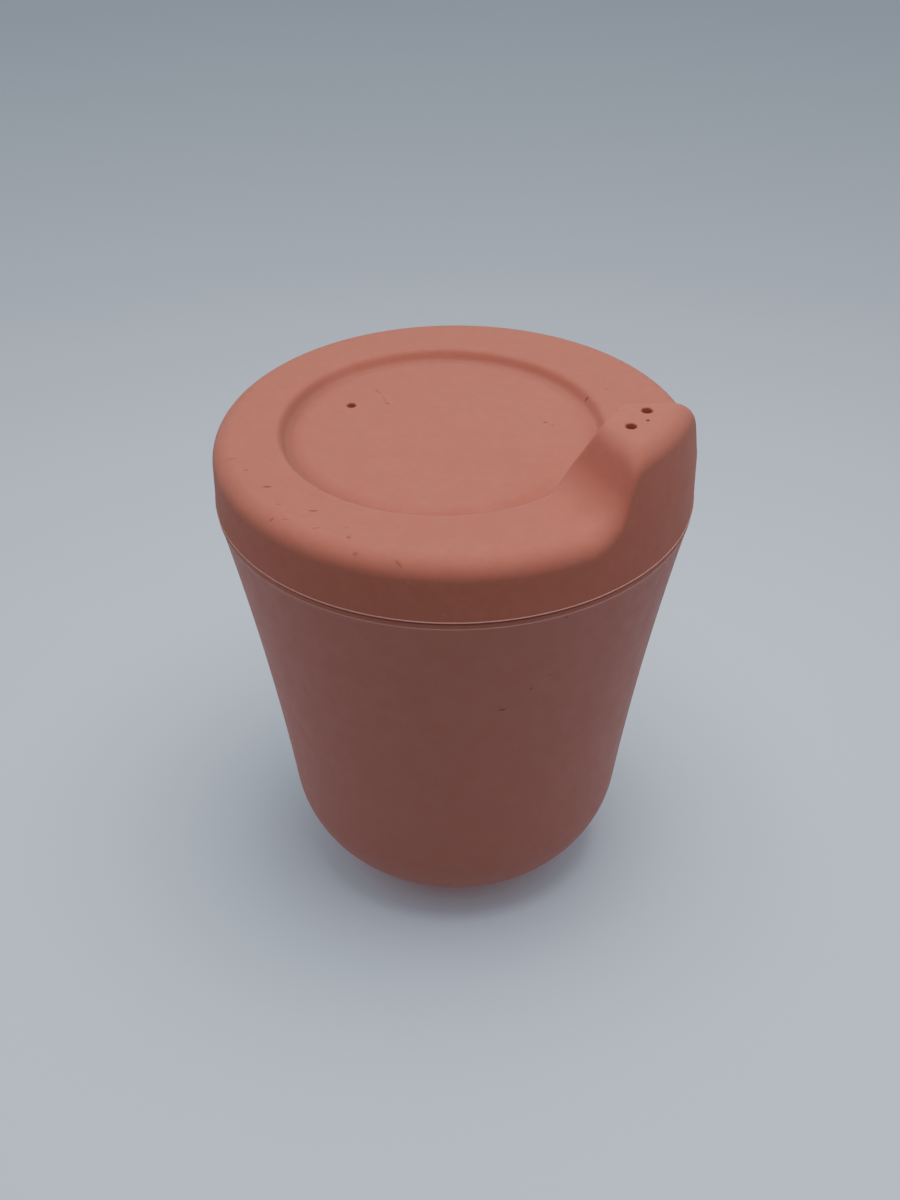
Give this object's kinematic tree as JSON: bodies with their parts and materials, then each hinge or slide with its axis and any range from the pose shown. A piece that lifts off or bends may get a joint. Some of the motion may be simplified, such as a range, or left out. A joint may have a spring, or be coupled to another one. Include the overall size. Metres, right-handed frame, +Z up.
{
  "type": "sippy cup",
  "caption": "Toddler's sippy cup: tapered tumbler with a large round base corner, and a soft press-on lid with a sunk panel, a wedge spout and an air hole.",
  "frame": {"origin": "centre of the flat base, on the surface that the cup stands on", "axes": "+Z up along the cup's axis, +X from the axis towards the spout"},
  "size_m": [0.08, 0.08, 0.0986],
  "materials": {
    "cup": "matte coral, fine even texture",
    "lid": "matte coral silicone, soft and slightly dusty"
  },
  "bodies": {
    "cup": {"cup": "cup"},
    "lid": {"lid": "lid"}
  },
  "joints": [
    {"name": "lid_lift", "type": "slide", "parent": "cup", "child": "lid", "axis": [0, 0, 1], "range_m": [0, 0.06]}
  ]
}
